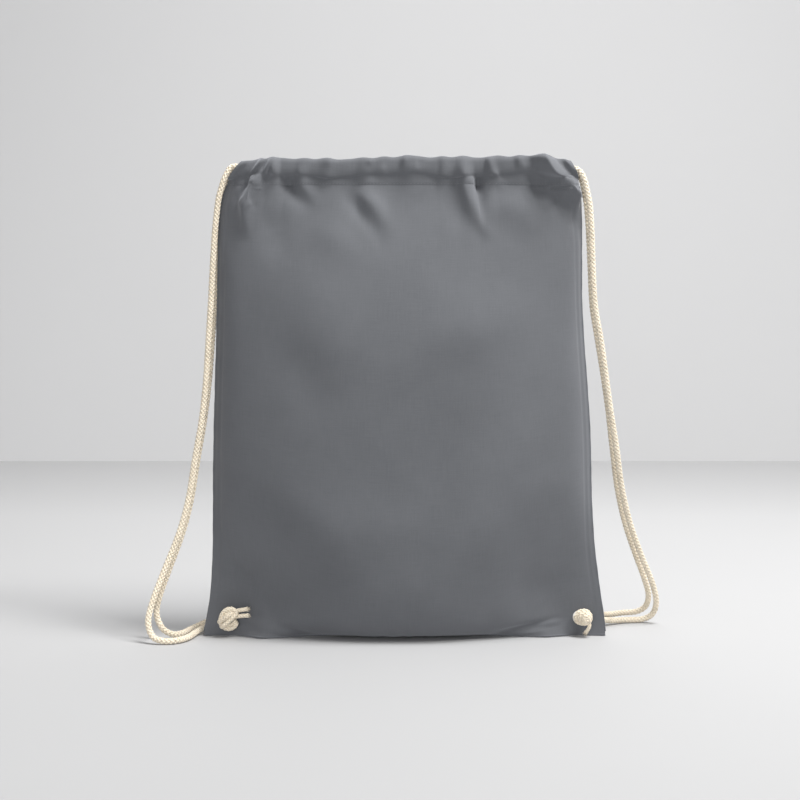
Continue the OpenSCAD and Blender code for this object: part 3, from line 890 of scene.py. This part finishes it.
def folded(x, z, folds):
    """How far the drawn folds stand out at each x and z, all in metres."""
    px, pz = x / MM, z / MM
    out = np.zeros_like(px)
    for points, wide, height, fade_in, fade_out in folds:
        pts = cubic(np.array(points, float), np.linspace(0, len(points) - 1, 6 * len(points)))
        near = (px > pts[:, 0].min() - 4 * wide) & (px < pts[:, 0].max() + 4 * wide)
        near &= (pz > pts[:, 1].min() - 4 * wide) & (pz < pts[:, 1].max() + 4 * wide)
        if not near.any():
            continue
        qx, qz = px[near], pz[near]
        best = np.full(qx.shape, 1e9)
        share = np.zeros_like(qx)
        for i in range(len(pts) - 1):
            d = pts[i + 1] - pts[i]
            t = np.clip(((qx - pts[i, 0]) * d[0] + (qz - pts[i, 1]) * d[1]) / (d @ d), 0, 1)
            gap = np.hypot(qx - pts[i, 0] - t * d[0], qz - pts[i, 1] - t * d[1])
            closer = gap < best
            best[closer] = gap[closer]
            share[closer] = ((i + t) / (len(pts) - 1))[closer]
        taper = smooth_step(share / fade_in) * smooth_step((1 - share) / fade_out)
        out[near] += height * taper * np.exp(-(best / wide) ** 2)
    return out * MM


def seam_relief(s, t):
    """The seam allowances pressed behind the cloth: a low band inside each sewn edge."""
    from_side = (1 - np.abs(s)) * HALF_WIDTH / MM
    from_base = t * CLOTH_LENGTH / MM
    gap = np.minimum(from_side, from_base + 1.5)
    groove = -0.55 * np.exp(-((gap - 7.5) / 1.3) ** 2)
    return (groove + 0.35 * smooth_step((7.5 - gap) / 2)) * MM


def flare(x, z, off_eyelet):
    """How far the lower edge swings forward near each corner, but not at the eyelets."""
    low = np.clip(1 - z / 0.06, 0, 1) ** 2
    beside = np.exp(-((np.abs(x) - 0.135) / 0.04) ** 2)
    far = np.where(x < 0, 0.017, 0.010)
    return far * low * beside * smooth_step((off_eyelet - 0.012) / 0.03)


def finished_panel(grid, folds, out):
    """A panel's outer and inner faces on a fine grid. out is -1 on the front and 1 on the back."""
    fine = refined(grid, ROWS, COLS)
    s, t = np.meshgrid(np.linspace(-1, 1, COLS), np.linspace(0, 1, ROWS))
    normal = grid_normals(fine) * -out
    inside = smooth_step((1 - np.abs(s)) / 0.04) * smooth_step(t / 0.04)
    lift = (folded(fine[..., 0], fine[..., 2], folds) + seam_relief(s, t)) * inside
    outer = fine + normal * lift[..., None]
    outer[..., 1] = out * np.sqrt(outer[..., 1] ** 2 + SEAM_Y ** 2)
    outer[..., 2] = np.maximum(outer[..., 2], 0.0004)
    normal = grid_normals(outer) * -out
    inner = outer - CLOTH_T * normal
    inner[..., 2] = np.maximum(inner[..., 2], 0.0006)
    inner[..., 1] = out * np.maximum(out * inner[..., 1], 0.0002)
    for face in (outer, inner):
        face[..., 1] -= flare(face[..., 0], face[..., 2], from_eyelet(s, t))
    uv = np.stack([s * HALF_WIDTH, t * CLOTH_LENGTH], -1) / MM
    return outer, inner, uv


def panel(layer, outer, inner, uv):
    """One panel, with a hole under each eyelet."""
    centre = 0.25 * (outer[:-1, :-1] + outer[:-1, 1:] + outer[1:, 1:] + outer[1:, :-1])
    hole = np.hypot(np.abs(centre[..., 0]) - EYELET_X, centre[..., 2] - EYELET_Z) < PANEL_HOLE_R
    piece = two_layers(f"{layer}_panel_cloth", outer, inner, uv, CLOTH, keep=~hole)
    bend(piece, open_share(vertices(piece)))
    stands_for(f"{layer}_panel")


# ---- casings ----

# The casing's section from the stitch line up its outer face, over the cords, and down inside to
# the hem: (outwards, up), in mm.
SECTION = [
    (0, 0), (0.3, 3), (0.2, 7), (0.8, 10.2), (2.5, 12.6), (3.4, 16), (3.3, 20.5), (2.7, 24),
    (0.9, 26.6), (-1, 27), (-3.1, 26), (-4.3, 23), (-4.6, 18), (-4.3, 14), (-3, 11), (-1.9, 8),
    (-1.7, 3), (-1.9, -4),
]
SECTION_STEPS = 61
SECTION_LENGTH = 60         # mm of cloth along the section
TOP_OF_SECTION = 9.0        # the section point at the top of the casing
STITCH_ROW = 2              # the row of the casing's grid that the stitches follow
STITCH_PITCH = 0.0032
STITCH_LONG = 0.0024
THREAD_R = 0.00014

# Height of each casing's top edge above the floor, along its length, in mm.
LEFT_TOP = [(-166, 450.4), (-158, 452), (-150, 453), (-140, 453.6)]
FRONT_TOP = [*LEFT_TOP, (-123, 454), (-85, 453.2), (-50, 453), (-17, 455), (5, 455.8), (30, 454.8),
             (60, 455.2), (72, 454.6), (100, 455.8), (134, 456.8), (145, 455.4), (154, 453.8),
             (160, 452.4), (164, 451)]
BACK_TOP = [*LEFT_TOP, (-110, 454.2), (-60, 453.4), (-20, 454.8), (30, 454.6), (70, 455),
            (110, 454.6), (135, 455.4), (145, 454.8), (154, 453.6), (160, 452.2), (164, 451)]


def band(steps, start, rise, end, fall):
    """A column that is 1 between two steps and falls off softly at both."""
    return (smooth_step((steps - start) / rise) * smooth_step((end - steps) / fall))[:, None]


def casing_grid(top_row, folds, top_line, out):
    """The casing's outer face, from a panel's top row up over the cords and down inside."""
    x = top_row[:, 0]
    steps = np.linspace(0, len(SECTION) - 1, SECTION_STEPS)
    section = cubic(np.array(SECTION, float), steps) * MM
    uneven = (0.6 * np.sin(x / 0.0041) + 0.5 * np.sin(x / 0.0067 + 1)
              + 0.4 * np.sin(x / 0.0029 + 2)) * MM

    # heights: as tall as the top line, uneven at the top, and wavy under the cords
    tall = (np.interp(x / MM, *zip(*top_line)) * MM - STITCH_Z) / CASING_H
    up = section[:, 1][:, None] * tall + band(steps, 4, 4, 15, 4) * uneven * 0.7
    wavy = (1.5 * np.sin(x / 0.019 + 2) + 0.9 * np.sin(x / 0.0085) - 1.6) * MM
    up = up + band(steps, 1.5, 2, 6, 2) * wavy
    z = STITCH_Z + up

    # both ends lean inwards towards the top
    left_end = smooth_step((-x - 0.118) / 0.045)
    right_end = smooth_step((x - 0.122) / 0.040)
    risen = np.clip(up, 0, None)
    lean = 0.0125 * left_end * (risen / 0.0204) ** 1.5 - 0.0062 * right_end * (risen / 0.018) ** 1.5

    # depth: round the cords, with the folds only standing out, never cutting in
    at_cord = band(steps, 1, 3, 16, 4)
    outer_part = smooth_step((TOP_OF_SECTION + 3 - steps) / 6)[:, None]
    centre = TOP_DEPTH * (1 - 0.3 * smooth_step((np.abs(x + lean) - 0.146) / 0.014))
    relief = 0.7 * pleat_line(x) + 1.1 * uneven + folded(x + lean, z, folds)
    soft = 0.5 * MM
    proud = soft * np.logaddexp(0, relief / soft) * outer_part
    y = np.abs(top_row[:, 1]) * (1 - at_cord) + (centre + proud) * at_cord + section[:, 0][:, None]
    grid = np.stack([x + lean, out * np.maximum(y, 0.0009), z], -1)
    grid[0, :, :2] = top_row[:, :2]
    return grid


def casing(layer, top_row, folds, top_line, out):
    """One casing, from its panel's top row. out is -1 on the front and 1 on the back."""
    outer = casing_grid(top_row, folds, top_line, out)
    inner = outer + CLOTH_T * out * grid_normals(outer)
    u = np.linspace(-1, 1, COLS) * HALF_WIDTH / MM
    v = CLOTH_LENGTH / MM + np.linspace(0, SECTION_LENGTH, SECTION_STEPS)
    uv = np.stack(np.meshgrid(u, v), -1)
    # the back's columns run the other way, so that its faces point outwards
    grids = [grid[:, ::-out] for grid in (outer, inner, uv)]
    piece = two_layers(f"{layer}_casing_cloth", *grids, CLOTH)
    bend(piece, open_share(vertices(piece)))
    stands_for(f"{layer}_casing")
    stitches(layer, outer, out)


def stitches(layer, outer, out):
    """The row of stitches along the casing's lower edge, sunk a little into the cloth."""
    row = outer[STITCH_ROW]
    far = distances(row)
    parts = []
    for start in np.arange(0.004, far[-1] - 0.004, STITCH_PITCH):
        at = np.linspace(start, start + STITCH_LONG, 5)
        line = np.stack([np.interp(at, far, row[:, k]) for k in range(3)], 1)
        line[:, 1] += out * np.array([-0.3, 0.02, 0.1, 0.02, -0.3]) * MM
        _, a, b = carried_frames(line)
        points = (line[:, None] + circles(6, a, b) * THREAD_R).reshape(-1, 3)
        parts.append((points, tube_faces(5, 6), np.zeros((30, 2))))
    piece = make_joined(f"{layer}_casing_stitches", parts, THREAD)
    bend(piece, open_share(vertices(piece)))


# ---- seams and corners ----

EDGE_HALF_Y = 0.0013        # half the depth of a rolled edge
EDGE_RING = 12
PATCH_HALF_Y = 0.00035
PATCH_RING = 40


def rolled_edge(name, line, half_out, replaced):
    """The turned edge where two panels are sewn: a soft flattened roll along a line."""
    tangent = carried_frames(line)[0]
    away = unit(np.cross(tangent, (0.0, 1.0, 0.0)))
    across = np.cross(away, tangent)
    far = distances(line)
    uneven = 1 + 0.10 * np.sin(far / 0.0075) + 0.08 * np.sin(far / 0.0031 + 1)
    ring = circles(EDGE_RING, away * half_out, across * EDGE_HALF_Y)
    points = line[:, None] + ring * uneven[:, None, None]
    uv = tube_uv(TAU * np.arange(EDGE_RING) / EDGE_RING * EDGE_HALF_Y / MM, far / MM)
    piece = make(name, points.reshape(-1, 3), tube_faces(len(line), EDGE_RING), CLOTH, uv)
    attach(piece, "bag")
    stands_for(replaced)


def corner_patch(side_name):
    """A patch of the same cloth between the panels, which the eyelet is pressed through."""
    s = SIDES[side_name]
    reach = np.linspace(0.0051, 0.0150, 8)
    out = []
    for r in reach:
        for a in TAU * np.arange(PATCH_RING + 1) / PATCH_RING:
            square = 1 / max(abs(math.cos(a)), abs(math.sin(a))) ** 0.75
            grow = 1 + (square - 1) * (r - reach[0]) / (reach[-1] - reach[0])
            x, z = s * EYELET_X + r * grow * math.cos(a), EYELET_Z + r * grow * math.sin(a)
            out.append((x, -flare(x, z, r * grow), z))
    grid = np.array(out).reshape(len(reach), PATCH_RING + 1, 3)
    layers = grid + (0, -PATCH_HALF_Y, 0), grid + (0, PATCH_HALF_Y, 0)
    piece = two_layers(f"{side_name}_corner_patch", *layers, grid[..., [0, 2]] / MM, CLOTH)
    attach(piece, "bag")
    stands_for(f"{side_name}_corner")


start_front, rest_grid = draped_start()
front_grid, back_grid = (fitted(grid) for grid in simulated(start_front, rest_grid))

front_outer, front_inner, panel_uv = finished_panel(front_grid, FRONT_FOLDS, -1)
back_outer, back_inner, _ = finished_panel(back_grid, BACK_FOLDS, 1)
panel("front", front_outer, front_inner, panel_uv)
panel("back", back_outer[:, ::-1], back_inner[:, ::-1], panel_uv[:, ::-1])
casing("front", front_outer[-1], FRONT_FOLDS, FRONT_TOP, -1)
casing("back", back_outer[-1], BACK_FOLDS, BACK_TOP, 1)

for side_name, column in (("left", 0), ("right", -1)):
    edge = 0.5 * (front_outer[2:, column] + back_outer[2:, column])
    rolled_edge(f"{side_name}_side_seam_edge", edge, 0.0009, f"{side_name}_side_seam")
    corner_patch(side_name)
base = 0.5 * (front_outer[0] + back_outer[0])
base[:, 2] = np.maximum(base[:, 2], 0.0014)
rolled_edge("bottom_seam_edge", base, 0.0010, "bottom_seam")

# The eyelets and washers are the CAD model's own meshes, in nickel.
for name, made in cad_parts.items():
    if "eyelet" in name:
        made.data.materials.clear()
        made.data.materials.append(METAL)

# ---- floor, wall and light ----


def stage_material(name, near, far, roughness, axis=1):
    """A pale surface with painted shade: its colour goes from one tone to another along its depth, or its
    height (2), standing in for the fall of light across it.
    """
    material, tree, shader = new_material(name, {"Roughness": roughness})
    place = split_xyz(tree, mapped(tree, output="Object"))[axis]
    grain = noise(tree, mapped(tree, output="Object"), 3.0, 3.0)
    share = weighted(tree, (math_node(tree, "ADD", place, 0.5), 0.65), (grain, 0.06))
    coloured(tree, shader, share, near, far)
    return material


# painted shade: the floor is painted darker towards the front, and the wall darker towards the top
FLOOR_MATERIAL = stage_material("pale_floor", (0.365, 0.365, 0.368), (0.53, 0.53, 0.534), 0.7)
WALL_MATERIAL = stage_material("pale_wall", (0.69, 0.69, 0.695), (0.575, 0.575, 0.58), 0.9, 2)
square("floor", 6, (-6, 6), (0, 0), FLOOR_MATERIAL)
square("wall", 6, (2.05, 2.05), (-0.01, 5), WALL_MATERIAL)


def area_light(name, place, target, size, power, colour=(1, 1, 1)):
    data = bpy.data.lights.new(name, "AREA")
    data.size = size
    data.energy = power
    data.color = colour
    light = bpy.data.objects.new(name, data)
    bpy.context.scene.collection.objects.link(light)
    aim(light, place, target)


area_light("key_light", (1.5, -0.95, 2.1), (0.05, 0, 0.3), 0.7, 38, (1.0, 0.99, 0.97))
area_light("front_top_light", (0.6, -0.35, 2.3), (0, 0, 0.4), 0.7, 56)
area_light("fill_light", (-0.2, -1.8, 0.2), (0, 0, 0.03), 1.1, 22, (0.97, 0.98, 1.0))
area_light("top_light", (0.2, 0.9, 2.6), (0, 0.3, 0.0), 2.2, 22)
world = bpy.data.worlds.new("studio")
world.use_nodes = True
world.node_tree.nodes["Background"].inputs["Color"].default_value = (1.0, 1.0, 1.0, 1)
world.node_tree.nodes["Background"].inputs["Strength"].default_value = 0.31
bpy.context.scene.world = world
bpy.context.scene.view_settings.view_transform = "Standard"
